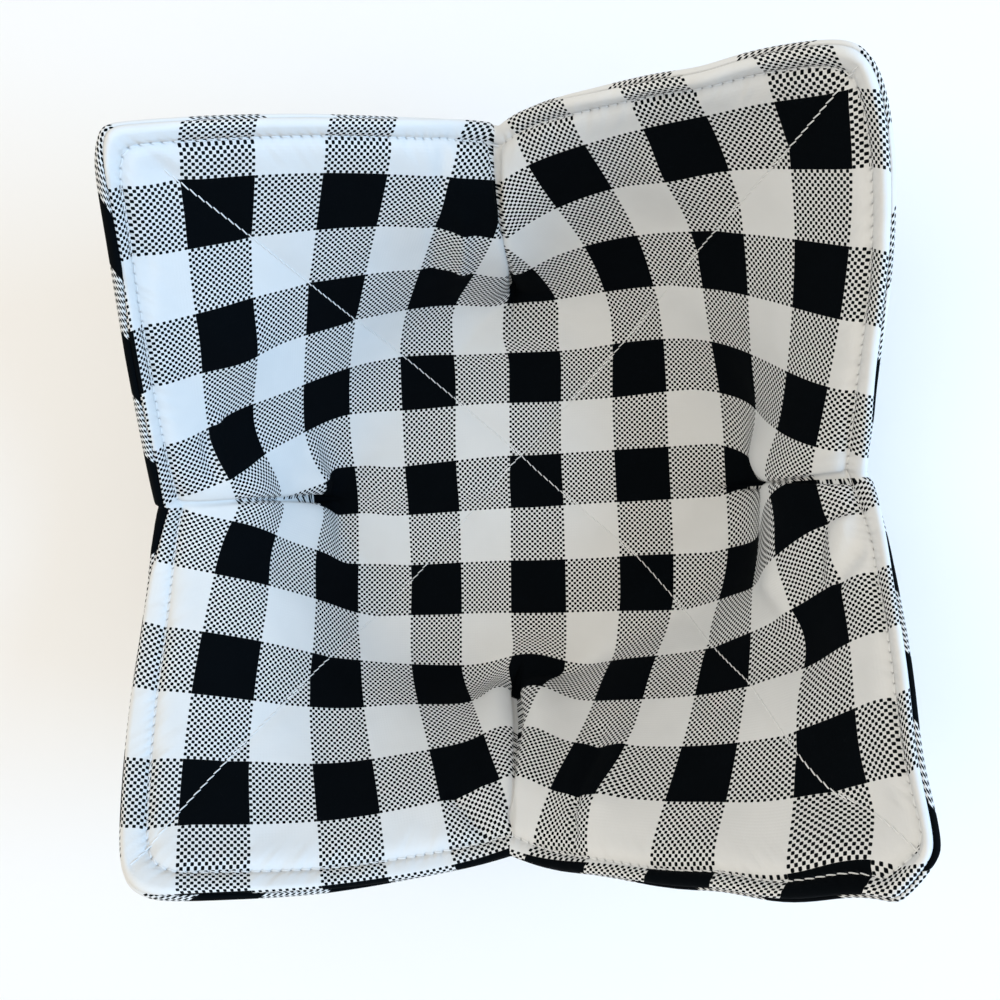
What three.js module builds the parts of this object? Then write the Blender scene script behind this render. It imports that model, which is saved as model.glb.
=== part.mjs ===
import * as THREE from 'three';

// A bowl cozy: two padded squares of check cotton sewn together round the edge, with a dart in the middle of
// each side that turns the square into a shallow four-cornered bowl.
// Millimetres, +Z up, standing on the flat underside of its floor at z = 0, centred on the origin.

const THICKNESS = 7;        // both panels together
const EDGE_THICKNESS = 4.6; // the same, pressed flat by the stitching at the edge
const THIN_FROM = 18;       // the cloth thins from this distance in from the edge
const THIN_TO = 2;          // to this one
const GAP = 0.45;           // clearance between the two panels, over 0.3 where the cloth bends
const EDGE_ROUND = 2.5;     // how far in from the edge the cloth is rounded off
const EDGE_BLUNT = 0.15;    // leaves a narrow blunt end on the rounding
const CORNER_SPAN = 31.8;   // degrees of flat cloth between a dart and a corner
const FLARE_LENGTH = 60;    // length of wall over which the flare is gained
const FLAT_TO = 38;         // the folds fade out here, so that the floor stays flat
const FADE_LENGTH = 12;     // length over which they fade
const COLUMNS = 16;         // columns of faces from one dart to the next
const FLOOR_RINGS = [0.5, 0.8, 1];              // rings of the grid, as shares of the foot
const BEND_RINGS = [0.25, 0.5, 0.75, 1];        // the next rings, as shares of the bend
const WALL_RINGS = [0.2, 0.4, 0.6, 0.8];        // the next rings, as shares of the rest
const EDGE_STEPS = [6, 2.5, 1.1, 0.35, 0];      // last rings, as distances in from the edge

// One row for each section of the cloth, clockwise from the dart at the back, seen from above.
// bearing: degrees clockwise from +Y; foot: length of cloth from the centre to where the wall starts to rise;
// bend: length over which it rises; wall: slope of the wall in degrees; flare: what the slope gains on the
// way to the edge; length: cloth from the centre to the edge; cut: where a corner is cut off or rounded.
const SECTIONS = [
  { name: 'back dart', bearing: 0.5, foot: 58.5, bend: 6, wall: 100, flare: -90, length: 123.5 },
  { name: 'back, right', bearing: 22.5, foot: 45.5, bend: 20, wall: 49.5, flare: 25.5 },
  { name: 'back right corner', bearing: 44, foot: 33.5, bend: 41, wall: 54, flare: 11.5,
    length: 163, cut: 164.5 },
  { name: 'right, back', bearing: 67, foot: 40, bend: 42, wall: 75.5, flare: -24 },
  { name: 'right dart', bearing: 90.5, foot: 56, bend: 23.5, wall: 109.5, flare: -149, length: 123 },
  { name: 'right, front', bearing: 112, foot: 44, bend: 32.5, wall: 76, flare: -13.5 },
  { name: 'front right corner', bearing: 134.5, foot: 41.5, bend: 25, wall: 64.5, flare: 0.5,
    length: 175, cut: 168 },
  { name: 'front, right', bearing: 157.5, foot: 50.5, bend: 8.5, wall: 67, flare: -7.5 },
  { name: 'front dart', bearing: 181, foot: 56, bend: 15, wall: 86.5, flare: -70.5, length: 120 },
  { name: 'front, left', bearing: 202.5, foot: 44.5, bend: 23.5, wall: 64, flare: -17.5 },
  { name: 'front left corner', bearing: 223.5, foot: 38, bend: 34, wall: 56, flare: -3.5,
    length: 161.5, cut: 159 },
  { name: 'left, front', bearing: 246.5, foot: 48.5, bend: 16.5, wall: 74, flare: -50 },
  { name: 'left dart', bearing: 268.5, foot: 56.5, bend: 9, wall: 82, flare: -52, length: 119.5 },
  { name: 'left, back', bearing: 291, foot: 39, bend: 32, wall: 68, flare: 1.5 },
  { name: 'back left corner', bearing: 315, foot: 33.5, bend: 40, wall: 70, flare: -3.5,
    length: 170, cut: 165 },
  { name: 'back, left', bearing: 338, foot: 40, bend: 30, wall: 73, flare: -9 },
];

// Soft troughs and ridges of the cloth. bearing and along, the cloth from the centre, say where each is;
// radius: how far it reaches; east, north and up: how far it moves the cloth.
const FOLDS = [
  { bearing: 0, along: 50, radius: 18, east: -2, north: -2, up: -1 },
  { bearing: 30, along: 110, radius: 12, east: -1.5, north: -2, up: 1.5 },
  { bearing: 30, along: 140, radius: 12, east: 0, north: -1.5, up: 1 },
  { bearing: 45, along: 65, radius: 28, east: 0.5, north: 0.5, up: 0.5 },
  { bearing: 84, along: 130, radius: 13, east: 0.7, north: 0, up: 0.3 },
  { bearing: 105, along: 65, radius: 18, east: 0.5, north: 0.5, up: 0.5 },
  { bearing: 105, along: 80, radius: 12, east: 0, north: -4, up: 0.5 },
  { bearing: 105, along: 95, radius: 12, east: -3, north: -1.5, up: 1 },
  { bearing: 120, along: 80, radius: 28, east: -1.5, north: -1.5, up: -1 },
  { bearing: 120, along: 110, radius: 12, east: 2.5, north: -1, up: -1.5 },
  { bearing: 120, along: 155, radius: 28, east: 2, north: 2, up: -3 },
  { bearing: 135, along: 155, radius: 18, east: 4, north: 1.5, up: -0.5 },
  { bearing: 139, along: 153, radius: 11, east: 0, north: 2, up: 0 },
  { bearing: 150, along: 134, radius: 11, east: 0, north: 1.2, up: 0 },
  { bearing: 150, along: 65, radius: 18, east: -2, north: 0.5, up: 1 },
  { bearing: 165, along: 110, radius: 12, east: -3, north: 1, up: 1.5 },
  { bearing: 180, along: 50, radius: 12, east: 1, north: 1.5, up: -0.5 },
  { bearing: 180, along: 65, radius: 12, east: -2.5, north: 7, up: 3 },
  { bearing: 180, along: 86, radius: 11, east: 0, north: 2.5, up: 0 },
  { bearing: 180, along: 102, radius: 11, east: 0, north: 2.5, up: 0 },
  { bearing: 195, along: 65, radius: 12, east: 1, north: -0.5, up: 0 },
  { bearing: 210, along: 80, radius: 18, east: -0.5, north: 2, up: 0.5 },
  { bearing: 240, along: 65, radius: 12, east: -1, north: 0.5, up: -0.5 },
  { bearing: 255, along: 80, radius: 12, east: -3, north: -0.5, up: -1 },
  { bearing: 270, along: 65, radius: 28, east: -0.5, north: 2.5, up: -0.5 },
  { bearing: 270, along: 65, radius: 12, east: 2, north: -1, up: 0.5 },
  { bearing: 270, along: 95, radius: 12, east: 4, north: 0.5, up: 1 },
  { bearing: 285, along: 95, radius: 12, east: -2, north: 1, up: -0.5 },
  { bearing: 300, along: 110, radius: 12, east: 2, north: -2, up: 1 },
];

const PANELS = [
  { name: 'inner_panel', isInner: true },
  { name: 'outer_panel', isInner: false },
];

const PI = Math.PI;

function radians(degrees) {
  return degrees * PI / 180;
}

function clamp(value, low, high) {
  return Math.min(high, Math.max(low, value));
}

function smoothStep(value) {
  const x = clamp(value, 0, 1);
  return x * x * (3 - 2 * x);
}

// The row of a section, counted on round the bowl.
function row(index) {
  return SECTIONS[index % SECTIONS.length];
}

// One column of the table at t, the way from one dart (0) to the next (1): a curve through five sections.
function between(column, side, t) {
  let total = 0;
  for (let a = 0; a < 5; a += 1) {
    let weight = 1;
    for (let b = 0; b < 5; b += 1) {
      if (b !== a) {
        weight *= (4 * t - b) / (a - b);
      }
    }
    let value = row(4 * side + a)[column];
    if (column === 'bearing' && 4 * side + a === SECTIONS.length) {
      value += 360;
    }
    total += weight * value;
  }
  return total;
}

// Length of cloth from the centre to the edge. The flat edge is straight from a dart to the corner's cut.
function clothLength(side, t) {
  const corner = row(4 * side + 2);
  const dart = row(4 * side + (t < 0.5 ? 0 : 4));
  const angle = CORNER_SPAN * Math.abs(2 * t - 1);
  const toCorner = Math.sin(radians(CORNER_SPAN - angle)) / corner.length;
  const toDart = Math.sin(radians(angle)) / dart.length;
  const straight = Math.sin(radians(CORNER_SPAN)) / (toCorner + toDart);
  const cut = corner.cut / Math.cos(radians(angle));
  return (straight ** -40 + cut ** -40) ** (-1 / 40);
}

// How far the folds move a place of the cloth.
function foldedBy(bearing, along) {
  const x = along * Math.sin(bearing);
  const y = along * Math.cos(bearing);
  const moved = new THREE.Vector3();
  for (const fold of FOLDS) {
    const turn = radians(fold.bearing);
    const away = Math.hypot(x - fold.along * Math.sin(turn), y - fold.along * Math.cos(turn));
    const share = Math.exp(-((away / fold.radius) ** 2));
    moved.addScaledVector(new THREE.Vector3(fold.east, fold.north, fold.up), share);
  }
  return moved.multiplyScalar(smoothStep((along - FLAT_TO) / FADE_LENGTH));
}

// A place on the inner face: along is the length of cloth from the centre, up the section at t.
function innerFace(side, t, along) {
  const foot = between('foot', side, t);
  const bend = between('bend', side, t);
  const wall = between('wall', side, t);
  const flare = between('flare', side, t);
  const bearing = radians(between('bearing', side, t));
  const steps = 80;
  const step = along / steps;
  let out = 0;
  let up = 0;
  for (let i = 0; i < steps; i += 1) {
    const at = (i + 0.5) * step;
    const gained = clamp((at - foot - bend) / FLARE_LENGTH, 0, 1.3);
    const slope = radians(wall * smoothStep((at - foot) / bend) + flare * gained);
    out += step * Math.cos(slope);
    up += step * Math.sin(slope);
  }
  const place = new THREE.Vector3(out * Math.sin(bearing), out * Math.cos(bearing), THICKNESS + up);
  place.add(foldedBy(bearing, along));
  place.z = Math.max(place.z, THICKNESS);
  return place;
}

// The direction from the inner face to the outer one, on one side of a dart.
function outward(side, t, along) {
  const small = 0.002;
  const before = innerFace(side, Math.max(0, t - small), along);
  const after = innerFace(side, Math.min(1, t + small), along);
  const below = innerFace(side, t, along - 0.5);
  const above = innerFace(side, t, along + 0.5);
  const across = after.sub(before);
  const up = above.sub(below);
  return up.cross(across).normalize();
}

// Rings of the grid at t, as lengths of cloth from the centre.
function ringLengths(side, t) {
  const length = clothLength(side, t);
  const foot = between('foot', side, t);
  const bend = between('bend', side, t);
  const rest = length - EDGE_STEPS[0] - foot - bend;
  const rings = [];
  for (const share of FLOOR_RINGS) {
    rings.push(share * foot);
  }
  for (const share of BEND_RINGS) {
    rings.push(foot + share * bend);
  }
  for (const share of WALL_RINGS) {
    rings.push(foot + bend + share * rest);
  }
  for (const inset of EDGE_STEPS) {
    rings.push(length - inset);
  }
  return rings;
}

// Thickness of the cloth at a distance in from the edge, before the edge is rounded.
function thickness(inset) {
  const share = smoothStep((inset - THIN_TO) / (THIN_FROM - THIN_TO));
  return EDGE_THICKNESS + (THICKNESS - EDGE_THICKNESS) * share;
}

// The same after the rounding.
function roundedThickness(inset) {
  const reach = 1 - clamp((inset + EDGE_BLUNT) / EDGE_ROUND, 0, 1);
  return thickness(inset) * Math.sqrt(1 - reach * reach);
}

// The grid of the bowl: one column for each step round it, with the place, direction and inset of each ring.
function columns() {
  const list = [];
  for (let side = 0; side < 4; side += 1) {
    for (let k = 0; k < COLUMNS; k += 1) {
      const t = k / COLUMNS;
      const column = [];
      const rings = ringLengths(side, t);
      for (const along of rings) {
        const direction = outward(side, t, along);
        if (k === 0) {
          direction.add(outward((side + 3) % 4, 1, along)).normalize();
        }
        if (along <= between('foot', side, t)) {
          direction.set(0, 0, -1);
        }
        column.push({ place: innerFace(side, t, along), direction, inset: rings[rings.length - 1] - along });
      }
      list.push(column);
    }
  }
  return list;
}

// A skin of the padded cloth. depthAt gives its depth below the inner face at a distance in from the edge.
function skin(grid, depthAt) {
  const points = [];
  for (const column of grid) {
    for (const ring of column) {
      points.push(ring.place.clone().addScaledVector(ring.direction, depthAt(ring.inset)));
    }
  }
  points.push(new THREE.Vector3(0, 0, THICKNESS - depthAt(THIN_FROM)));
  return points;
}

// The four skins: the bowl's inside, the two faces that meet in the middle, and the outside.
function insideDepth(inset) {
  return (thickness(inset) - roundedThickness(inset)) / 2;
}

function innerMiddleDepth(inset) {
  return (thickness(inset) - GAP) / 2;
}

function outerMiddleDepth(inset) {
  return (thickness(inset) + GAP) / 2;
}

function outsideDepth(inset) {
  return (thickness(inset) + roundedThickness(inset)) / 2;
}

// A panel is closed by its upper skin, its lower skin and the narrow strip along the edge.
function panelGeometry(grid, isInner) {
  const upper = skin(grid, isInner ? insideDepth : outerMiddleDepth);
  const lower = skin(grid, isInner ? innerMiddleDepth : outsideDepth);
  const rings = grid[0].length;
  const count = upper.length;
  const faces = [];
  const add = (a, b, c) => {
    faces.push(a, b, c);
    faces.push(a + count, c + count, b + count);
  };
  for (let k = 0; k < grid.length; k += 1) {
    const here = k * rings;
    const next = ((k + 1) % grid.length) * rings;
    add(count - 1, next, here);
    for (let r = 0; r < rings - 1; r += 1) {
      add(here + r, next + r + 1, here + r + 1);
      add(here + r, next + r, next + r + 1);
    }
    const rim = here + rings - 1;
    const rimNext = next + rings - 1;
    faces.push(rim, rimNext, rimNext + count);
    faces.push(rim, rimNext + count, rim + count);
  }
  const positions = [];
  for (const point of [...upper, ...lower]) {
    positions.push(point.x, point.y, point.z);
  }
  const geometry = new THREE.BufferGeometry();
  geometry.setAttribute('position', new THREE.Float32BufferAttribute(positions, 3));
  geometry.setIndex(faces);
  geometry.computeVertexNormals();
  return geometry;
}

function clothMaterial() {
  return new THREE.MeshStandardMaterial({ color: 0x8a8b8c, roughness: 0.9, metalness: 0 });
}

function bowlCozy() {
  const group = new THREE.Group();
  group.name = 'bowl_cozy';
  const grid = columns();
  for (const panel of PANELS) {
    const mesh = new THREE.Mesh(panelGeometry(grid, panel.isInner), clothMaterial());
    mesh.name = panel.name;
    group.add(mesh);
  }
  return group;
}

export default bowlCozy();
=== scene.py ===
import bpy
import numpy as np
from mathutils import Matrix, Vector


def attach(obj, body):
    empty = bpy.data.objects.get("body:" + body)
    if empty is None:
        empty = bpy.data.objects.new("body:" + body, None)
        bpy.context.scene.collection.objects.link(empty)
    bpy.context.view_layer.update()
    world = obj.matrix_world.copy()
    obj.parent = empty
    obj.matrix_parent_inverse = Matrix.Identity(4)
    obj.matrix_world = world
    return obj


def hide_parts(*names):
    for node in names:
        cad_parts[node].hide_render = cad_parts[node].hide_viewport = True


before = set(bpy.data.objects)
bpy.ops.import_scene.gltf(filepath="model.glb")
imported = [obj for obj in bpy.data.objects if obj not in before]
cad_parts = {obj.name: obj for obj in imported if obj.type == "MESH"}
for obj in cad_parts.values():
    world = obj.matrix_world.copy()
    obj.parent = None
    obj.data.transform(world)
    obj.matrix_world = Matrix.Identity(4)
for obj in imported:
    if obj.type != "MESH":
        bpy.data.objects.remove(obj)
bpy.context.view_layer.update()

MM = 0.001
THICKNESS = 7.0             # both panels together
EDGE_THICKNESS = 4.6        # the same, pressed flat by the topstitching at the edge
THINNING = (2, 18)          # it thins between these distances in from the edge
GAP = 0.33                  # clearance between the two panels
OUTER_FOLD = 0.3            # how much of a narrow fold shows on the outside, through the padding
OUTER_DART = 0.35           # how much the darts pull in the outside, as a share of the inside
QUARTER = np.pi / 4 * EDGE_THICKNESS        # cloth from the seam in the middle of the round edge to a face
ROUNDING = QUARTER - EDGE_THICKNESS / 2     # cloth that the rounding takes up
CHECK = 15.9                # one check of the cloth
CENTRE = (7.25, 7.7)        # the middle of the bowl's floor, in checks
THREADS = 21                # threads in one check
DOT_RADIUS = 0.615          # in threads, of the black dots where a black stripe crosses a white one
DOT_SHARPNESS = 6.0         # how sharply their edges end
WEAVE_HEIGHT = 0.012        # of the threads
WRINKLE_HEIGHT = 1.2        # of the soft wrinkles all over the cloth
GATHER_HEIGHT = 1.1         # of the gathers beside the topstitching
HOLE_DEPTH = 0.2            # of its needle holes
SCALLOP_HEIGHT = 0.15       # of the puffs between them
OUTER_FINER = 1.03          # the outer panel's checks are a little smaller, shifted and off the square
OUTER_SHIFT = -0.15
OUTER_SLANT = 0.037

COLUMNS = 144               # columns of faces from one dart to the next
WALL_RINGS = 82             # rings of faces from the centre to near the edge
EDGE_RINGS = 28             # rings of faces in the last tenth of the way
ROUND_RINGS = 7             # rings of faces round the edge
HIDDEN_EVERY = 3            # the hidden faces between the panels use every third ring
CROWDING = 0.7              # share by which the columns are closer together at the darts and the corners
NEAR_EDGE = 0.9             # share of the way from the centre at which the edge's rings start

STITCH = 2.3                # length of one stitch
THREAD = 0.32               # thickness of the sewing thread
THREAD_SIDES = 6            # sides of a stitch's tube
QUILTED_TO = 3.5            # the quilting ends this far in from the edge's seam
SEAM_OPENING = 0.1          # from the middle of the edge's seam to each panel
STITCH_SLANT = 0.3          # how far a stitch's ends are to the side of its line, both together
# A stitch from end to end: the share of its length, its thickness as a share of the thread's and its lift.
STITCH_PROFILE = (
    (0.0, 0.7, -0.06),
    (0.1, 0.95, 0.06),
    (0.35, 1.0, 0.16),
    (0.65, 1.0, 0.16),
    (0.9, 0.95, 0.06),
    (1.0, 0.7, -0.06),
)

# How far each kind of seam pulls the cloth in: a wide valley and a narrow ditch in the middle of it.
SEAM_PULL = {
    "topstitch": {"valley": 1.7, "valley_width": 1.8, "ditch": 0.25, "ditch_width": 0.5},
    "quilting": {"valley": 0.7, "valley_width": 2.6, "ditch": 0.0, "ditch_width": 1.0},
    "dart": {"valley": 0.8, "valley_width": 2.4, "ditch": 1.8, "ditch_width": 0.4},
    "edge": {"valley": 0.0, "valley_width": 1.0, "ditch": 0.8, "ditch_width": 0.8},
}

SENSOR = 36.0
FOCAL_LENGTH = 0.871 * SENSOR
CAMERA_PLACE = (27.0, -7.0, 268.9)
CAMERA_TILT = (0.016, 0.130, -0.035)    # from straight down, as a turn in radians about each axis

# One row for each section of the cloth, clockwise from the dart at the back, seen from above.
# bearing: degrees clockwise from +Y; foot: cloth from the centre to where the wall starts to rise; bend: the
# length over which it rises; wall: its slope in degrees; flare: what the slope gains in the next 60 mm.
SECTIONS = np.array(
    [
        (0.5, 58.5, 6, 100, -90),
        (22.5, 45.5, 20, 49.5, 25.5),
        (44, 33.5, 41, 54, 11.5),
        (67, 40, 42, 75.5, -24),
        (90.5, 56, 23.5, 109.5, -149),
        (112, 44, 32.5, 76, -13.5),
        (134.5, 41.5, 25, 64.5, 0.5),
        (157.5, 50.5, 8.5, 67, -7.5),
        (181, 56, 15, 86.5, -70.5),
        (202.5, 44.5, 23.5, 64, -17.5),
        (223.5, 38, 34, 56, -3.5),
        (246.5, 48.5, 16.5, 74, -50),
        (268.5, 56.5, 9, 82, -52),
        (291, 39, 32, 68, 1.5),
        (315, 33.5, 40, 70, -3.5),
        (338, 40, 30, 73, -9),
    ],
    dtype=[(name, float) for name in ("bearing", "foot", "bend", "wall", "flare")],
)
FLARE_LENGTH = 60.0
FLARE_TO = 1.3              # the slope changes no more beyond this many of those lengths

# How much of the outer panel is rolled over the edge to the inside, from place to place round the bowl, where
# a place is the number of a section in the table above. The front half of the right edge and the left half of
# the front edge are rolled a little, and the left edge more.
ROLLED = np.array(
    [
        (4.0, 0.0),
        (4.6, 0.3),
        (5.9, 0.3),
        (6.2, 0.0),
        (8.6, 0.0),
        (9.3, 0.9),
        (9.7, 1.5),
        (9.95, 0.2),
        (10.3, 0.8),
        (11.5, 1.2),
        (11.7, 3.0),
        (12.0, 4.5),
        (12.35, 3.5),
        (12.6, 2.0),
        (13.2, 1.5),
        (13.5, 3.4),
        (13.8, 3.2),
        (14.1, 0.0),
    ],
    dtype=[(name, float) for name in ("place", "roll")],
)

# How far in from the edge's seam the topstitching runs, at the same kind of places.
TOPSTITCHED = np.array(
    [
        (0.0, 6.6),
        (2.0, 6.8),
        (4.0, 6.4),
        (4.5, 5.9),
        (7.5, 5.6),
        (8.3, 7.0),
        (10.0, 8.1),
        (11.0, 8.7),
        (12.0, 7.2),
        (13.0, 6.9),
        (16.0, 6.6),
    ],
    dtype=[(name, float) for name in ("place", "inset")],
)

# The darts, in checks: where each meets the edge, half its width there and its depth.
DARTS = np.array(
    [
        (7.08, 0.15, 1.75, 3.9),
        (14.81, 7.91, 1.65, 3.9),
        (7.28, 15.12, 1.5, 3.81),
        (-0.12, 7.52, 1.55, 3.65),
    ],
    dtype=[(name, float) for name in ("u", "v", "half", "depth")],
)
# The corners that follow them: the bearing of the flat cloth at each, in degrees, then where the edges would
# meet, in checks, how far along each edge the corner is cut off, and how sharp the cut's two ends are.
CORNERS = np.array(
    [
        (44.1, 14.46, 0.33, 0.18, 0.26, 50),
        (134.9, 14.88, 15.44, 0.6, 0.62, 200),
        (223.7, 0.2, 15.04, 0.34, 0.37, 60),
        (315.7, -0.12, 0.17, 0.22, 0.5, 120),
    ],
    dtype=[(name, float) for name in ("bearing", "u", "v", "cut_u", "cut_v", "sharp")],
)
ALONG_EDGE = ((1, 0), (0, 1), (-1, 0), (0, -1))     # the way each side's edge runs, clockwise

# The two lines of quilting, in checks.
QUILTING = (
    ((0.8, 0.85), (2, 2), (4, 4), (7.2, 7.0), (9.3, 9), (12, 11.9), (13.5, 14), (15.0, 15.2)),
    ((15, 0), (13.85, 1), (11.2, 3.2), (9.2, 5), (7.2, 7.0), (5.3, 9), (3.2, 11.2), (1.65, 13), (0.1, 14.9)),
)

# Soft troughs and ridges of the cloth. bearing and along say where, as for a section; radius is how far each
# reaches; east, north and up are how far it moves the cloth.
BULGES = np.array(
    [
        (0, 50, 18, -2, -2, -1),
        (30, 110, 12, -1.5, -2, 1.5),
        (30, 140, 12, 0, -1.5, 1),
        (45, 65, 28, 0.5, 0.5, 0.5),
        (84, 130, 13, 0.7, 0, 0.3),
        (105, 65, 18, 0.5, 0.5, 0.5),
        (105, 80, 12, 0, -4, 0.5),
        (105, 95, 12, -3, -1.5, 1),
        (120, 80, 28, -1.5, -1.5, -1),
        (120, 110, 12, 2.5, -1, -1.5),
        (120, 155, 28, 2, 2, -3),
        (135, 155, 18, 4, 1.5, -0.5),
        (139, 153, 11, 0, 2, 0),
        (150, 134, 11, 0, 1.2, 0),
        (150, 65, 18, -2, 0.5, 1),
        (165, 110, 12, -3, 1, 1.5),
        (180, 50, 12, 1, 1.5, -0.5),
        (180, 65, 12, -2.5, 7, 3),
        (180, 86, 11, 0, 2.5, 0),
        (180, 102, 11, 0, 2.5, 0),
        (195, 65, 12, 1, -0.5, 0),
        (210, 80, 18, -0.5, 2, 0.5),
        (240, 65, 12, -1, 0.5, -0.5),
        (255, 80, 12, -3, -0.5, -1),
        (270, 65, 28, -0.5, 2.5, -0.5),
        (270, 65, 12, 2, -1, 0.5),
        (270, 95, 12, 4, 0.5, 1),
        (285, 95, 12, -2, 1, -0.5),
        (300, 110, 12, 2, -2, 1),
    ],
    dtype=[(name, float) for name in ("bearing", "along", "radius", "east", "north", "up")],
)
FLAT_TO = 38.0              # no bulges up to here, so that the floor stays flat
FLAT_FADE = 12.0            # they grow to their full size over this length

# The cloth puffs up on both sides of a dart's inner end. after: 1 on the clockwise side of the dart, 0 on the
# other; peak: where it is highest, out from the dart's tip, and length how far it reaches from there; reach:
# from the seam to the top of the puff; height: towards the inside of the bowl.
LOBES = np.array(
    [
        (0, 0, 6, 12, 6, 1.5),
        (0, 1, 10, 12, 5, 1),
        (1, 0, 22, 12, 8, 4),
        (1, 1, 8, 12, 6, 1),
        (2, 0, 18, 14, 6.5, 2.5),
        (2, 1, 18, 16, 6.5, 3),
        (3, 0, 8, 10, 6, 1),
        (3, 1, 9, 8, 5, 3),
    ],
    dtype=[(name, float) for name in ("dart", "after", "peak", "length", "reach", "height")],
)

# Narrow folds, each a straight line on the flat cloth from u1, v1 to u2, v2 in checks: a ridge where the
# height is towards the inside of the bowl, a crease where it is negative.
CREASES = np.array(
    [
        (5.2, 13.9, 5.55, 14.7, 1.2, -1.5),
        (5.6, 13.7, 5.85, 14.5, 2.2, 1),
        (9.4, 12.7, 9.6, 14.1, 2.2, -1.2),
        (9.6, 14.1, 9.75, 14.8, 1.2, -1.5),
        (9.9, 12.9, 10.1, 14.1, 2.6, 0.8),
        (5.4, 1.7, 5.75, 3, 2.2, 1.4),
        (5, 1.9, 5.2, 3, 2, -0.8),
        (4.8, 0.5, 4.9, 1.2, 1.8, -0.9),
        (0.7, 0.75, 0.9, 0.95, 4, -0.8),
        (14, 9.95, 14.65, 9.85, 1.5, -1.2),
        (14.6, 10, 14.4, 10.6, 2.2, -1.6),
        (14.4, 10.6, 14, 10.95, 2, -1.3),
        (13.9, 10.1, 13.65, 10.8, 1.8, -1.3),
        (14.2, 10.2, 14, 10.65, 4.5, 1.3),
        (12.7, 10.4, 12.85, 10.9, 4.5, 2),
        (0.9, 5.2, 0.85, 5.8, 1.5, -1.2),
        (1.2, 5, 1.05, 6, 1.8, 1.2),
        (3.15, 6.4, 3.1, 7.1, 3, 1.2),
        (0.4, 2, 0.1, 3.4, 1.8, -0.6),
    ],
    dtype=[(name, float) for name in ("u1", "v1", "u2", "v2", "width", "height")],
)


def smooth(x):
    """From 0 to 1 with soft ends."""
    x = np.clip(x, 0, 1)
    return x * x * (3 - 2 * x)


def curve_weights(t):
    """Weights of a curve through five sections, at t from one dart (0) to the next (1)."""
    weights = np.ones((len(t), 5))
    for a in range(5):
        for b in range(5):
            if a != b:
                weights[:, a] *= (4 * t - b) / (a - b)
    return weights


def between(column, side, t):
    """One column of the table of sections at t."""
    rows = 4 * side[:, None] + np.arange(5)
    values = SECTIONS[column][rows % 16]
    if column == "bearing":
        values = values + 360.0 * (rows > 15)
    return (curve_weights(t) * values).sum(axis=1)


def bare_cloth(side, t, along):
    """The inner face before its bulges, and the bearing: along is the cloth's length from the centre."""
    foot, bend, wall, flare = (between(name, side, t) for name in ("foot", "bend", "wall", "flare"))
    bearing = np.radians(between("bearing", side, t))
    steps = 80
    step = along / steps
    out = np.zeros_like(along)
    up = np.zeros_like(along)
    for i in range(steps):
        at = (i + 0.5) * step
        gained = np.clip((at - foot - bend) / FLARE_LENGTH, 0, FLARE_TO)
        slope = np.radians(wall * smooth((at - foot) / bend) + flare * gained)
        out += step * np.cos(slope)
        up += step * np.sin(slope)
    return np.stack([out * np.sin(bearing), out * np.cos(bearing), THICKNESS + up], axis=1), bearing


def off_the_table(place):
    """The same places with none of them below the floor of the bowl."""
    place[..., 2] = place[..., 2].clip(THICKNESS)
    return place


def inner_face(side, t, along):
    """The inner face of the cloth with its bulges."""
    place, bearing = bare_cloth(side, t, along)
    x = along * np.sin(bearing)
    y = along * np.cos(bearing)
    off_floor = smooth((along - FLAT_TO) / FLAT_FADE)
    for bulge in BULGES:
        turn = np.radians(bulge["bearing"])
        away = (x - bulge["along"] * np.sin(turn)) ** 2 + (y - bulge["along"] * np.cos(turn)) ** 2
        share = np.exp(-away / bulge["radius"] ** 2) * off_floor
        place += share[:, None] * np.array([bulge["east"], bulge["north"], bulge["up"]])
    return off_the_table(place)


def checks_to_plan(u, v):
    """A place on the flat cloth, from the centre, in millimetres with y to the back."""
    return (np.asarray(u) - CENTRE[0]) * CHECK, (CENTRE[1] - np.asarray(v)) * CHECK


def dart_side(dart, sign):
    """The flat line that one side of a dart is sewn along, from the centre out and on past the edge."""
    row = DARTS[dart]
    end = np.array([row["u"], row["v"]])
    centre = np.array(CENTRE)
    past_edge = 1.12
    share = np.linspace(0, past_edge, 200)
    from_edge = np.linalg.norm(end - centre) * (1 - share)
    half = row["half"] * np.clip(1 - from_edge / row["depth"], 0, None)
    line = centre + share[:, None] * (end - centre) + sign * half[:, None] * np.array(ALONG_EDGE[dart])
    x, y = checks_to_plan(line[:, 0], line[:, 1])
    return np.hypot(x, y), np.unwrap(np.arctan2(x, y))


DART_SIDES = {(dart, sign): dart_side(dart, sign) for dart in range(4) for sign in (-1, 1)}


def corner_bearing(side):
    return np.radians(CORNERS["bearing"][side])


def turned(a, b):
    """The angle from b to a, between minus and plus half a turn."""
    return (a - b + np.pi) % (2 * np.pi) - np.pi


def seam_bearing(side, first, along):
    """The flat bearing of a side's first or last dart line at a distance from the centre."""
    found = np.zeros_like(along)
    for dart in range(4):
        for sign in (-1, 1):
            chosen = (side == dart) & first if sign == 1 else ((side + 1) % 4 == dart) & ~first
            distance, bearing = DART_SIDES[dart, sign]
            found[chosen] = np.interp(along[chosen], distance, bearing)
    return found


def flat_place(side, t, along):
    """Where a place of the bowl lies on the flat cloth, in checks."""
    first = t < 0.5
    corner = corner_bearing(side)
    share = np.abs(2 * t - 1)
    bearing = corner + share * turned(seam_bearing(side, first, along), corner)
    u = CENTRE[0] + along * np.sin(bearing) / CHECK
    v = CENTRE[1] - along * np.cos(bearing) / CHECK
    return np.stack([u, v], axis=1)


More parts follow.
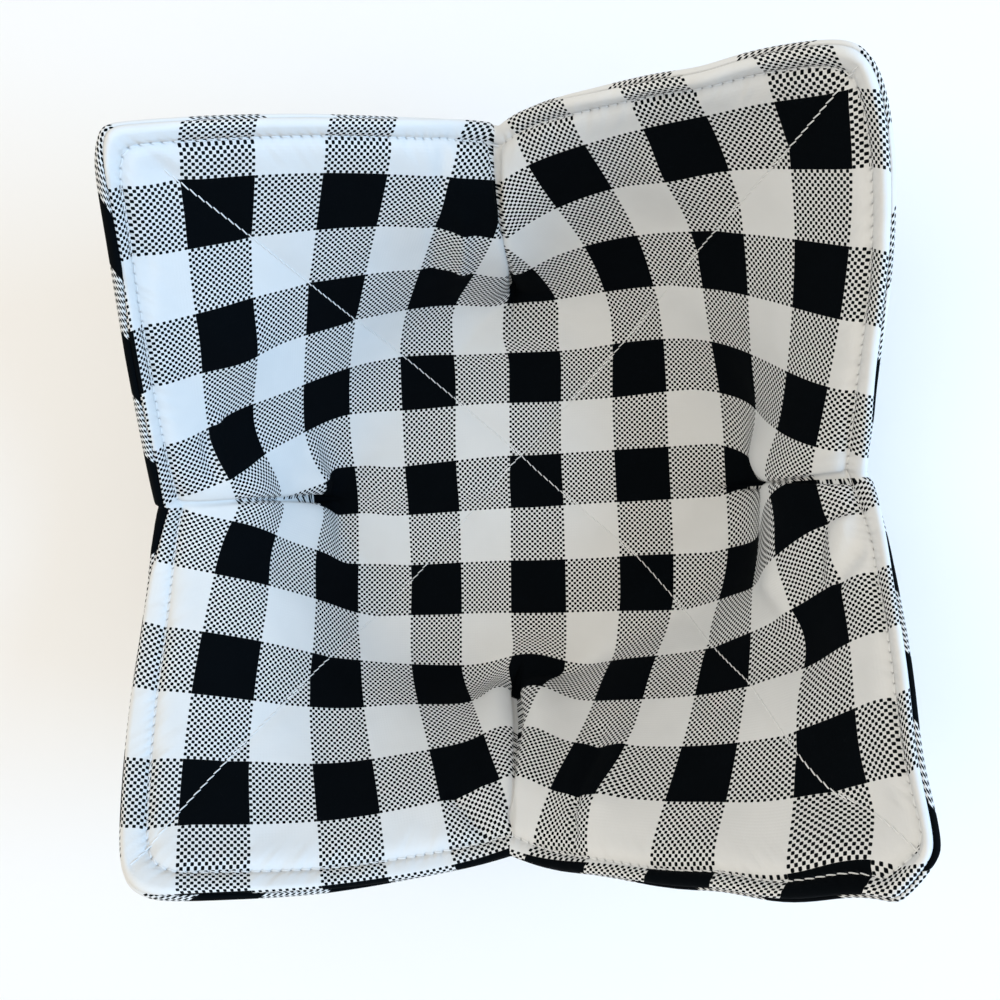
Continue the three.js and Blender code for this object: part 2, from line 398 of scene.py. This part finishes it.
def bowl_place(u, v):
    """The side, t and along of a place on the flat cloth."""
    x, y = checks_to_plan(u, v)
    along = np.hypot(x, y)
    bearing = np.arctan2(x, y)
    side = np.floor(np.degrees(bearing) % 360 / 90).astype(int).clip(max=3)
    corner = corner_bearing(side)
    from_corner = turned(bearing, corner)
    first = from_corner < 0
    share = from_corner / np.where(first, -1, 1) / np.abs(turned(seam_bearing(side, first, along), corner))
    share = np.clip(share, 0, 1)
    return side, np.where(first, 0.5 - 0.5 * share, 0.5 + 0.5 * share), along


def edge_lines(side):
    """The three straight edges of each side: up to the corner, along its cut and on to the next dart."""
    last = (side + 1) % 4
    along_first = np.array(ALONG_EDGE)[side]
    along_last = np.array(ALONG_EDGE)[last]
    first_dart = np.stack([DARTS["u"][side], DARTS["v"][side]], axis=1)
    last_dart = np.stack([DARTS["u"][last], DARTS["v"][last]], axis=1)
    start = first_dart + along_first * DARTS["half"][side][:, None]
    end = last_dart - along_last * DARTS["half"][last][:, None]
    corner = np.stack([CORNERS["u"][side], CORNERS["v"][side]], axis=1)
    even = side % 2 == 0
    cut_first = np.where(even, CORNERS["cut_u"][side], CORNERS["cut_v"][side])
    cut_last = np.where(even, CORNERS["cut_v"][side], CORNERS["cut_u"][side])
    cut_start = corner - along_first * cut_first[:, None]
    cut_end = corner + along_last * cut_last[:, None]
    pairs = ((start, corner), (cut_start, cut_end), (corner, end))
    return [[np.stack(checks_to_plan(p[:, 0], p[:, 1]), axis=1) for p in pair] for pair in pairs]


def cross(a, b):
    return a[:, 0] * b[:, 1] - a[:, 1] * b[:, 0]


def cloth_length(side, t):
    """Cloth from the centre to the edge, and the centre's distance square to that edge."""
    first_guess = 125.0
    rounds = 6
    nearest = 1e-4
    along = np.full(len(t), first_guess)
    sharp = CORNERS["sharp"][side]
    for _ in range(rounds):
        flat = flat_place(side, t, along)
        x, y = checks_to_plan(flat[:, 0], flat[:, 1])
        way = np.stack([x, y], axis=1) / np.hypot(x, y)[:, None]
        nearness = []
        squares = []
        for a, b in edge_lines(side):
            area = cross(a, b)
            nearness.append(np.clip(cross(way, b - a) / area, nearest, None))
            squares.append(np.abs(area) / np.linalg.norm(b - a, axis=1))
        nearness = np.array(nearness)
        powers = (nearness / nearness.max(axis=0)) ** sharp
        along = 1 / (nearness.max(axis=0) * powers.sum(axis=0) ** (1 / sharp))
    square = (np.array(squares) * powers).sum(axis=0) / powers.sum(axis=0)
    return along, square


def inset_at(along, length, square):
    """Cloth from a place to the seam, square to the edge."""
    return (1 - along / length) * square + ROUNDING


def along_at(inset, length, square):
    """The opposite: how far from the centre a place is."""
    return length * (1 - (inset - ROUNDING) / square)


def topstitch_inset(side, t):
    """How far in from the edge's seam the topstitching is."""
    return np.interp(4 * (side + t), TOPSTITCHED["place"], TOPSTITCHED["inset"])


def polyline_distance(points, line):
    """Distance in millimetres of flat places, in checks, from a line of flat places."""
    best = np.full(len(points), np.inf)
    for a, b in zip(line[:-1], line[1:]):
        a = np.array(a)
        d = np.array(b) - a
        share = np.clip(((points - a) @ d) / (d @ d), 0, 1)
        best = np.minimum(best, np.linalg.norm(points - a - share[:, None] * d, axis=1))
    return best * CHECK


def groove(distance, width):
    """A soft V with a narrow rounded bottom, 1 deep."""
    bottom = 0.2
    return np.exp(-(np.sqrt(distance**2 + bottom**2) - bottom) / width)


def pulled_in(kind, distance):
    """How far a seam pulls the cloth in at a distance from it."""
    pull = SEAM_PULL[kind]
    valley = pull["valley"] * groove(distance, pull["valley_width"])
    return valley + pull["ditch"] * groove(distance, pull["ditch_width"])


def from_dart(side, t, along):
    """The nearest dart, how far along it from its tip a place is, and how far from its seam."""
    flat = flat_place(side, t, along)
    first = t < 0.5
    x, y = checks_to_plan(flat[:, 0], flat[:, 1])
    away = along * np.abs(np.sin(turned(np.arctan2(x, y), seam_bearing(side, first, along))))
    dart = np.where(first, side, (side + 1) % 4)
    end_x, end_y = checks_to_plan(DARTS["u"][dart], DARTS["v"][dart])
    tip = np.hypot(end_x, end_y) - DARTS["depth"][dart] * CHECK
    return dart, along - tip, away


def puff(side, t, along, inset, inside):
    """How far the seams pull the cloth's face in."""
    flat = flat_place(side, t, along)
    depth = pulled_in("topstitch", inset - topstitch_inset(side, t))
    for line in QUILTING:
        depth += pulled_in("quilting", polyline_distance(flat, line))
    _, beyond_tip, away = from_dart(side, t, along)
    before_tip, tip_fade = 3, 12
    from_edge, edge_fade = 4, 7
    from_tip = smooth((beyond_tip + before_tip) / tip_fade)
    dart = pulled_in("dart", away) * from_tip * smooth((inset - from_edge) / edge_fade)
    return depth + dart * (1 if inside else OUTER_DART)


def fold_height(side, t, along, inset):
    """How far the puffs at the darts and the narrow folds move the cloth, towards the inside of the bowl."""
    dart, beyond_tip, away = from_dart(side, t, along)
    after = t < 0.5
    height = np.zeros_like(along)
    for lobe in LOBES:
        chosen = (dart == lobe["dart"]) & (after == lobe["after"])
        share = away / lobe["reach"]
        across = share * np.exp(0.5 - 0.5 * share**2)
        outward = np.exp(-(((beyond_tip - lobe["peak"]) / lobe["length"]) ** 2))
        height += np.where(chosen, lobe["height"] * across * outward, 0)
    flat = flat_place(side, t, along)
    for crease in CREASES:
        line = ((crease["u1"], crease["v1"]), (crease["u2"], crease["v2"]))
        height += crease["height"] * np.exp(-((polyline_distance(flat, line) / crease["width"]) ** 2))
    from_edge, edge_fade = 5, 6
    return height * smooth((inset - from_edge) / edge_fade)


def thickness(inset):
    """Both panels together, at a distance in from the edge."""
    start, end = THINNING
    return EDGE_THICKNESS + (THICKNESS - EDGE_THICKNESS) * smooth((inset - start) / (end - start))


class Bowl:
    """The grid of the bowl: columns round it from the dart at the back, and rings out from the centre."""

    def __init__(self):
        step = np.arange(COLUMNS + 1) / COLUMNS
        t = step - CROWDING * np.sin(4 * np.pi * step) / (4 * np.pi)
        self.side = np.repeat(np.arange(4), COLUMNS + 1)
        self.t = np.tile(t, 4)
        self.length, self.square = cloth_length(self.side, self.t)
        wall = np.linspace(0, NEAR_EDGE, WALL_RINGS + 1)[1:]
        edge = np.linspace(NEAR_EDGE, 1, EDGE_RINGS + 1)[1:]
        self.shares = np.concatenate([wall, edge])
        self.along = along_at(QUARTER, self.length, self.square)[:, None] * self.shares
        self.inset = inset_at(self.along, self.length[:, None], self.square[:, None])
        rings = len(self.shares)
        self.sides = np.repeat(self.side, rings)
        self.ts = np.repeat(self.t, rings)
        flat_along = self.along.ravel()
        self.shape = (len(self.t), rings)
        bare = self.closed(inner_face(self.sides, self.ts, flat_along).reshape(*self.shape, 3))
        spots = (self.sides, self.ts, flat_along, self.inset.ravel())
        folds = self.closed(fold_height(*spots).reshape(*self.shape, 1))
        self.bare_out = self.directions(bare)
        self.place = off_the_table(bare - self.bare_out * folds)
        self.out = self.directions(self.place)
        thick = thickness(self.closed(self.inset))[..., None]
        self.outer_place = off_the_table(bare - self.bare_out * folds * OUTER_FOLD) + self.bare_out * thick
        depths = [puff(*spots, inside).reshape(*self.shape, 1) for inside in (True, False)]
        self.depth, self.outer_depth = (self.closed(depth) for depth in depths)
        roll = np.interp(4 * (self.side + self.t), ROLLED["place"], ROLLED["roll"])
        self.roll = self.closed(roll[:, None])[:, 0]
        edgeward = self.place[:, -1] - self.place[:, -2]
        self.edgeward = edgeward / np.linalg.norm(edgeward, axis=1, keepdims=True)
        self.stitches = self.count_stitches()

    def count_stitches(self):
        """Stitches of the topstitching from the dart at the back to each column, a whole number in all."""
        inset = topstitch_inset(self.side, self.t)
        line, _ = face_place(self.side, self.t, along_at(inset, self.length, self.square), True)
        gone = np.concatenate([[0], np.cumsum(np.linalg.norm(np.diff(line, axis=0), axis=1))])
        return gone * round(gone[-1] / STITCH) / gone[-1]

    def closed(self, values):
        """Joins each side's last column to the next side's first, which is the same seam."""
        sides = values.reshape(4, COLUMNS + 1, *values.shape[1:])
        joined = sides[:, :COLUMNS].copy()
        joined[:, 0] = (sides[:, 0] + np.roll(sides[:, COLUMNS], 1, axis=0)) / 2
        return joined.reshape(4 * COLUMNS, *values.shape[1:])

    def directions(self, places):
        """Square to the cloth, from the inner face to the outer one."""
        across = np.roll(places, -1, axis=0) - np.roll(places, 1, axis=0)
        out = np.cross(np.gradient(places, axis=1), across)
        return out / np.linalg.norm(out, axis=2, keepdims=True)


def outline(bowl, arc, inset_depth):
    """Places round the edge. arc is from the very edge, positive up to the inner face."""
    radius = EDGE_THICKNESS / 2
    turn = -arc[:, None] / radius
    middle = bowl.place[:, -1] + radius * bowl.out[:, -1]
    way = np.cos(turn) * bowl.edgeward + np.sin(turn) * bowl.out[:, -1]
    return middle + (radius - inset_depth)[:, None] * way


def open_columns(values):
    """The closed grid's values again with a column of its own for each side of each dart."""
    sides = values.reshape(4, COLUMNS, *values.shape[1:])
    last = np.roll(sides[:, :1], -1, axis=0)
    return np.concatenate([sides, last], axis=1).reshape(4 * (COLUMNS + 1), *values.shape[1:])


def panel_rings(bowl, inside):
    """The visible rings of a panel from its centre to its seam at the edge.

    Each has its places and, for the maps of the cloth, its flat cloth, the stitches counted round the bowl
    and how far in from the topstitching it is.
    """
    way = 1 if inside else -1
    fade = 2.5
    if inside:
        face = bowl.place + bowl.out * bowl.depth
    else:
        face = bowl.outer_place - bowl.bare_out * bowl.outer_depth
    rings = [face[:, j] for j in range(face.shape[1])]
    insets = [bowl.inset[:, j] for j in range(face.shape[1])]
    start = way * QUARTER
    end = bowl.roll + way * SEAM_OPENING
    pulled = bowl.depth[:, -1, 0]
    for j in range(1, ROUND_RINGS + 1):
        share = j / ROUND_RINGS
        arc = start + (end - start) * share
        dip = pulled_in("edge", arc - bowl.roll)
        rings.append(outline(bowl, arc, dip + pulled * np.exp(-share * fade)))
        insets.append(way * open_columns(arc))
    cloths = []
    for inset in insets:
        u, v = flat_place(bowl.side, bowl.t, along_at(inset, bowl.length, bowl.square)).T
        if not inside:
            u, v = u * OUTER_FINER + OUTER_SHIFT, v + u * OUTER_SLANT
        beside = inset - topstitch_inset(bowl.side, bowl.t)
        cloths.append(np.column_stack([u, v, bowl.stitches, beside]))
    return rings, cloths


def parting_rings(bowl, inside):
    """The hidden rings of a panel from its seam at the edge to its centre."""
    through = bowl.outer_place - bowl.place
    through /= np.linalg.norm(through, axis=2, keepdims=True)
    middle = (bowl.outer_place + bowl.place) / 2 + through * GAP / (-2 if inside else 2)
    chosen = range(len(bowl.shares) - 1 - HIDDEN_EVERY, -1, -HIDDEN_EVERY)
    return [middle[:, j] for j in chosen]


def panel_mesh(bowl, name, inside):
    """A panel as one closed mesh with its two maps of the cloth."""
    rings, cloths = panel_rings(bowl, inside)
    hidden = parting_rings(bowl, inside)
    middle = np.array([[0, 0, THICKNESS if inside else 0]])
    back = np.array([[0, 0, THICKNESS / 2 + (GAP if inside else -GAP) / -2]])
    places = np.concatenate([middle, *rings, *hidden, back])
    count = 4 * COLUMNS
    total = len(rings) + len(hidden)
    column = np.arange(count)
    after = (column + 1) % count
    cloth_column = column + column // COLUMNS
    centre = np.repeat([[*CENTRE, 0, bowl.inset.max()]], count, axis=0)

    def cloth_at(ring, columns):
        return cloths[min(ring, len(cloths) - 1)][columns]

    def vertex(ring, columns):
        return 1 + ring * count + columns

    first = np.stack([np.zeros(count, int), vertex(0, after), vertex(0, column)], axis=1)
    end = np.full(count, len(places) - 1)
    last = np.stack([end, vertex(total - 1, column), vertex(total - 1, after)], axis=1)
    triangles = [first, last]
    triangle_cloths = [
        np.stack([centre, cloth_at(0, cloth_column + 1), cloth_at(0, cloth_column)], axis=1),
        np.stack([centre] * 3, axis=1),
    ]
    quads = []
    quad_cloths = []
    for ring in range(total - 1):
        here = [vertex(ring, column), vertex(ring, after)]
        there = [vertex(ring + 1, after), vertex(ring + 1, column)]
        quads.append(np.stack(here + there, axis=1))
        inner = [cloth_at(ring, cloth_column), cloth_at(ring, cloth_column + 1)]
        outer = [cloth_at(ring + 1, cloth_column + 1), cloth_at(ring + 1, cloth_column)]
        quad_cloths.append(np.stack(inner + outer, axis=1))
    turned_over = slice(None, None, 1 if inside else -1)
    quads, triangles = (np.concatenate(f)[:, turned_over] for f in (quads, triangles))
    quad_cloths, triangle_cloths = (np.concatenate(f)[:, turned_over] for f in (quad_cloths, triangle_cloths))
    cloth = np.concatenate([quad_cloths.reshape(-1, 4), triangle_cloths.reshape(-1, 4)])
    return mesh_piece(name, places, quads, triangles, {"flat_cloth": cloth[:, :2], "edge_seam": cloth[:, 2:]})


def mesh_piece(name, places, quads, triangles, maps=None):
    """A smooth mesh object from arrays of places in millimetres, of faces and of UV maps."""
    mesh = bpy.data.meshes.new(name)
    mesh.vertices.add(len(places))
    mesh.vertices.foreach_set("co", (places * MM).astype(np.float32).ravel())
    loops = np.concatenate([quads.ravel(), triangles.ravel()]).astype(np.int32)
    starts = np.concatenate([np.arange(len(quads)) * 4, len(quads) * 4 + np.arange(len(triangles)) * 3])
    mesh.loops.add(len(loops))
    mesh.loops.foreach_set("vertex_index", loops)
    mesh.polygons.add(len(starts))
    mesh.polygons.foreach_set("loop_start", starts.astype(np.int32))
    for map_name, values in (maps or {}).items():
        layer = mesh.uv_layers.new(name=map_name)
        layer.uv.foreach_set("vector", values.astype(np.float32).ravel())
    mesh.update(calc_edges=True)
    mesh.validate()
    mesh.polygons.foreach_set("use_smooth", np.ones(len(mesh.polygons), bool))
    piece = bpy.data.objects.new(name, mesh)
    bpy.context.scene.collection.objects.link(piece)
    return piece


def face_place(side, t, along, inside):
    """Places on a panel's face with its seams pulled in, and the way out of the face."""
    step = 0.6
    small = 0.004
    inset = inset_at(along, *cloth_length(side, t))
    place = inner_face(side, t, along)
    outward = inner_face(side, t, along + step) - inner_face(side, t, along - step)
    low = np.clip(t - small, 0, 1)
    high = np.clip(t + small, 0, 1)
    across = inner_face(side, high, along) - inner_face(side, low, along)
    out = np.cross(outward, across)
    out /= np.linalg.norm(out, axis=1, keepdims=True)
    depth = puff(side, t, along, inset, inside)
    folds = fold_height(side, t, along, inset)
    if inside:
        return place + out * (depth - folds)[:, None], -out
    return place + out * (thickness(inset) - depth - folds * OUTER_FOLD)[:, None], out


def even_points(places, spacing):
    """Shares along a line of places that are evenly spaced, about that far apart."""
    lengths = np.concatenate([[0], np.cumsum(np.linalg.norm(np.diff(places, axis=0), axis=1))])
    count = int(round(lengths[-1] / spacing))
    return np.interp(np.linspace(0, lengths[-1], count + 1), lengths, np.arange(len(places)))


def quilt_line(line, inside):
    """Needle holes along a line of quilting."""
    corners = np.array(line)
    share = np.linspace(0, len(corners) - 1, 600)
    u = np.interp(share, np.arange(len(corners)), corners[:, 0])
    v = np.interp(share, np.arange(len(corners)), corners[:, 1])
    side, t, along = bowl_place(u, v)
    kept = inset_at(along, *cloth_length(side, t)) > QUILTED_TO
    side, t, along = side[kept], t[kept], along[kept]
    places, out = face_place(side, t, along, inside)
    at = even_points(places, STITCH)
    index = np.arange(len(places))
    holes = np.stack([np.interp(at, index, places[:, k]) for k in range(3)], axis=1)
    ways = np.stack([np.interp(at, index, out[:, k]) for k in range(3)], axis=1)
    return holes, ways


def topstitch_line(bowl, inside):
    """Needle holes all round, in from the edge."""
    column = np.interp(np.arange(0.0, bowl.stitches[-1]), bowl.stitches, np.arange(len(bowl.t)))
    before = column.astype(int)
    t = bowl.t[before] + (column - before) * (bowl.t[before + 1] - bowl.t[before]).clip(0)
    side = bowl.side[before]
    along = along_at(topstitch_inset(side, t), *cloth_length(side, t))
    places, out = face_place(side, t, along, inside)
    return np.concatenate([places, places[:1]]), np.concatenate([out, out[:1]])


def stitch_parts(holes, ways):
    """Each stitch as a short bowed tube between two needle holes, a little slanted."""
    start = holes[:-1]
    end = holes[1:]
    way = (ways[:-1] + ways[1:]) / 2
    forward = end - start
    length = np.linalg.norm(forward, axis=1, keepdims=True)
    forward /= length
    across = np.cross(forward, way)
    across /= np.linalg.norm(across, axis=1, keepdims=True)
    way = np.cross(across, forward)
    rings = []
    for share, girth, lift in STITCH_PROFILE:
        gone = forward * length * (0.01 + 0.98 * share)
        middle = start + gone + way * lift + across * STITCH_SLANT * (share - 0.5)
        for k in range(THREAD_SIDES):
            turn = 2 * np.pi * k / THREAD_SIDES
            rings.append(middle + THREAD / 2 * girth * (np.cos(turn) * across + np.sin(turn) * way))
    places = np.stack(rings, axis=1)
    quads = []
    for ring in range(len(STITCH_PROFILE) - 1):
        for k in range(THREAD_SIDES):
            a = ring * THREAD_SIDES + k
            b = ring * THREAD_SIDES + (k + 1) % THREAD_SIDES
            quads.append((a, b, b + THREAD_SIDES, a + THREAD_SIDES))
    last = (len(STITCH_PROFILE) - 1) * THREAD_SIDES
    caps = [(0, k + 1, k) for k in range(1, THREAD_SIDES - 1)]
    caps += [(last, last + k, last + k + 1) for k in range(1, THREAD_SIDES - 1)]
    return places, np.array(quads), np.array(caps)


def stitches(name, lines):
    """All the stitches of some lines of needle holes, joined in one mesh."""
    all_places = []
    all_quads = []
    all_caps = []
    count = 0
    for holes, ways in lines:
        places, quads, caps = stitch_parts(holes, ways)
        each = places.shape[1]
        offsets = count + np.arange(len(places))[:, None, None] * each
        all_places.append(places.reshape(-1, 3))
        all_quads.append((offsets + quads).reshape(-1, 4))
        all_caps.append((offsets + caps).reshape(-1, 3))
        count += len(places) * each
    return mesh_piece(name, np.concatenate(all_places), np.concatenate(all_quads), np.concatenate(all_caps))


class Nodes:
    """Short forms for building a material's nodes."""

    def __init__(self, name):
        self.material = bpy.data.materials.new(name)
        self.material.use_nodes = True
        self.tree = self.material.node_tree
        self.shader = self.tree.nodes["Principled BSDF"]

    def join(self, value, socket):
        if isinstance(value, bpy.types.NodeSocket):
            self.tree.links.new(value, socket)
        else:
            socket.default_value = value

    def math(self, operation, a, b=0.0, c=0.0):
        node = self.tree.nodes.new("ShaderNodeMath")
        node.operation = operation
        for value, socket in zip((a, b, c), node.inputs):
            self.join(value, socket)
        return node.outputs[0]

    def bell(self, x, width):
        """1 where x is 0, fading over the width on both sides."""
        share = self.math("DIVIDE", x, width)
        return self.math("EXPONENT", self.math("MULTIPLY", self.math("MULTIPLY", share, share), -1.0))

    def uv_map(self, name):
        """A UV map and its two coordinates."""
        node = self.tree.nodes.new("ShaderNodeUVMap")
        node.uv_map = name
        split = self.tree.nodes.new("ShaderNodeSeparateXYZ")
        self.join(node.outputs["UV"], split.inputs[0])
        return node.outputs["UV"], split.outputs[0], split.outputs[1]

    def noise(self, vector, scale, detail=2.0):
        node = self.tree.nodes.new("ShaderNodeTexNoise")
        node.inputs["Scale"].default_value = scale
        node.inputs["Detail"].default_value = detail
        self.join(vector, node.inputs["Vector"])
        return node.outputs["Fac"]

    def mix(self, factor, a, b):
        node = self.tree.nodes.new("ShaderNodeMix")
        node.data_type = "RGBA"
        self.join(factor, node.inputs["Factor"])
        self.join(a, node.inputs["A"])
        self.join(b, node.inputs["B"])
        return node.outputs["Result"]


def check_weave(n, u, v):
    """How black the cloth is, and the height of its threads, which alternate where the stripes cross."""

    def is_black(x):
        return n.math("GREATER_THAN", n.math("FRACT", n.math("MULTIPLY", x, 0.5)), 0.5)

    def thread_place(x):
        threads = n.math("MULTIPLY", x, float(THREADS))
        return n.math("FLOOR", threads), n.math("SUBTRACT", n.math("FRACT", threads), 0.5)

    black_u, black_v = is_black(u), is_black(v)
    thread_u, in_u = thread_place(u)
    thread_v, in_v = thread_place(v)
    half_sum = n.math("MULTIPLY", n.math("ADD", thread_u, thread_v), 0.5)
    odd = n.math("GREATER_THAN", n.math("FRACT", half_sum), 0.25)
    even = n.math("SUBTRACT", 1.0, odd)
    top = n.math("ADD", n.math("MULTIPLY", black_u, even), n.math("MULTIPLY", black_v, odd))
    cube_u = n.math("POWER", n.math("ABSOLUTE", in_u), 3.0)
    cube_v = n.math("POWER", n.math("ABSOLUTE", in_v), 3.0)
    from_middle = n.math("POWER", n.math("ADD", cube_u, cube_v), 1 / 3)
    inward = n.math("SUBTRACT", DOT_RADIUS, from_middle)
    in_dot = n.math("SMOOTH_MIN", n.math("MULTIPLY", inward, DOT_SHARPNESS), 1.0, 0.2)
    in_dot = n.math("MAXIMUM", in_dot, 0.0)
    both = n.math("MULTIPLY", black_u, black_v)
    black = n.math("MULTIPLY", top, n.math("MAXIMUM", in_dot, both))
    dome_u = n.math("COSINE", n.math("MULTIPLY", in_u, float(np.pi)))
    dome_v = n.math("COSINE", n.math("MULTIPLY", in_v, float(np.pi)))
    return black, n.math("MULTIPLY", dome_u, dome_v)


def edge_relief(n, stitch, beside):
    """The needle holes of the topstitching, as a mask that also places painted shade in them, and the height
    of the holes, of the puffs between them and of the small gathers beside it.
    """
    from_hole = n.math("SUBTRACT", n.math("FRACT", n.math("ADD", stitch, 0.5)), 0.5)
    hole = n.math("MULTIPLY", n.bell(from_hole, 0.13), n.bell(beside, 0.32))
    between_holes = n.math("SUBTRACT", 1.0, n.bell(from_hole, 0.28))
    scallop = n.math("MULTIPLY", between_holes, n.bell(n.math("ADD", beside, 0.9), 0.8))
    stretched = n.tree.nodes.new("ShaderNodeCombineXYZ")
    n.join(n.math("MULTIPLY", stitch, 0.55), stretched.inputs[0])
    n.join(n.math("MULTIPLY", beside, 0.07), stretched.inputs[1])
    gathers = n.math("MULTIPLY", n.noise(stretched.outputs[0], 1.0, 1.0), n.bell(beside, 5.5))
    height = n.math("MULTIPLY", hole, -HOLE_DEPTH)
    height = n.math("MULTIPLY_ADD", scallop, SCALLOP_HEIGHT, height)
    return hole, n.math("MULTIPLY_ADD", gathers, GATHER_HEIGHT, height)


def check_cloth():
    """Buffalo check cotton, a plain weave of black and white threads, a little wrinkled, with painted shade
    darkening its needle holes.
    """
    n = Nodes("buffalo_check")
    flat, u, v = n.uv_map("flat_cloth")
    _, stitch, beside = n.uv_map("edge_seam")
    black, weave = check_weave(n, u, v)
    hole, relief = edge_relief(n, stitch, beside)

    soil = n.noise(flat, 1.7, 4.0)
    white = n.mix(soil, (0.73, 0.73, 0.725, 1), (0.79, 0.79, 0.785, 1))
    dark = n.mix(soil, (0.0004, 0.0013, 0.0022, 1), (0.001, 0.0022, 0.0036, 1))
    colour = n.mix(black, white, dark)
    # Painted shade: the needle holes are darkened towards a dark blue-grey, standing in for the shadow inside
    # the pits.
    colour = n.mix(n.math("MULTIPLY", hole, 0.45), colour, (0.03, 0.035, 0.045, 1))
    n.join(colour, n.shader.inputs["Base Color"])
    n.shader.inputs["Roughness"].default_value = 0.85
    n.shader.inputs["Specular IOR Level"].default_value = 0.05

    height = n.math("MULTIPLY_ADD", weave, WEAVE_HEIGHT, relief)
    height = n.math("MULTIPLY_ADD", n.noise(flat, 0.9, 1.5), WRINKLE_HEIGHT, height)
    bump = n.tree.nodes.new("ShaderNodeBump")
    bump.inputs["Distance"].default_value = MM
    n.join(height, bump.inputs["Height"])
    n.join(bump.outputs["Normal"], n.shader.inputs["Normal"])
    return n.material


def sewing_thread():
    """White cotton thread."""
    n = Nodes("sewing_thread")
    place = n.tree.nodes.new("ShaderNodeTexCoord").outputs["Object"]
    colour = n.mix(n.noise(place, 900.0), (0.74, 0.75, 0.76, 1), (0.88, 0.88, 0.87, 1))
    n.join(colour, n.shader.inputs["Base Color"])
    n.shader.inputs["Roughness"].default_value = 0.7
    return n.material


def pale_floor():
    """The plain pale surface that the cozy stands on."""
    n = Nodes("pale_floor")
    n.shader.inputs["Base Color"].default_value = (0.93, 0.92, 0.92, 1)
    n.shader.inputs["Roughness"].default_value = 0.9
    bpy.ops.mesh.primitive_plane_add(size=6, location=(0, 0, 0))
    floor = bpy.context.object
    floor.name = "floor"
    floor.data.materials.append(n.material)


def area_light(name, place, size, power, colour):
    light = bpy.data.lights.new(name, "AREA")
    light.size = size
    light.energy = power
    light.color = colour
    lamp = bpy.data.objects.new(name, light)
    lamp.location = place
    lamp.rotation_euler = (-Vector(place)).to_track_quat("-Z", "Y").to_euler()
    bpy.context.scene.collection.objects.link(lamp)


def studio():
    """Soft warm light all round, and a cooler window on the right."""
    world = bpy.data.worlds.new("studio")
    world.use_nodes = True
    world.node_tree.nodes["Background"].inputs["Color"].default_value = (1.0, 0.985, 0.94, 1)
    world.node_tree.nodes["Background"].inputs["Strength"].default_value = 0.81
    bpy.context.scene.world = world
    area_light("window", (1.05, -0.15, 0.6), 0.7, 11.8, (0.3, 0.62, 1.0))
    area_light("lamp", (-0.5, 0.05, 1.2), 0.6, 2.9, (1.0, 0.88, 0.66))
    bpy.context.scene.view_settings.view_transform = "Standard"


def camera():
    """The photograph was taken from above, close over the middle of the bowl."""
    data = bpy.data.cameras.new("camera")
    data.sensor_width = SENSOR
    data.lens = FOCAL_LENGTH
    data.clip_start = 0.01
    eye = bpy.data.objects.new("camera", data)
    tilt = Vector(CAMERA_TILT)
    turn = Matrix.Rotation(tilt.length, 4, tilt.normalized())
    eye.matrix_world = Matrix.Translation(Vector(CAMERA_PLACE) * MM) @ turn
    bpy.context.scene.collection.objects.link(eye)
    bpy.context.scene.camera = eye


def build():
    bowl = Bowl()
    cloth = check_cloth()
    thread = sewing_thread()
    panels = (("inner_cloth", "inner_panel", True), ("outer_cloth", "outer_panel", False))
    for name, node, inside in panels:
        panel = panel_mesh(bowl, name, inside)
        panel.data.materials.append(cloth)
        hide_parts(node)
        lines = [quilt_line(line, inside) for line in QUILTING]
        lines.append(topstitch_line(bowl, inside))
        sewing = stitches(name.replace("cloth", "stitches"), lines)
        sewing.data.materials.append(thread)
        for piece in (panel, sewing):
            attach(piece, "root")


camera()
studio()
pale_floor()
build()
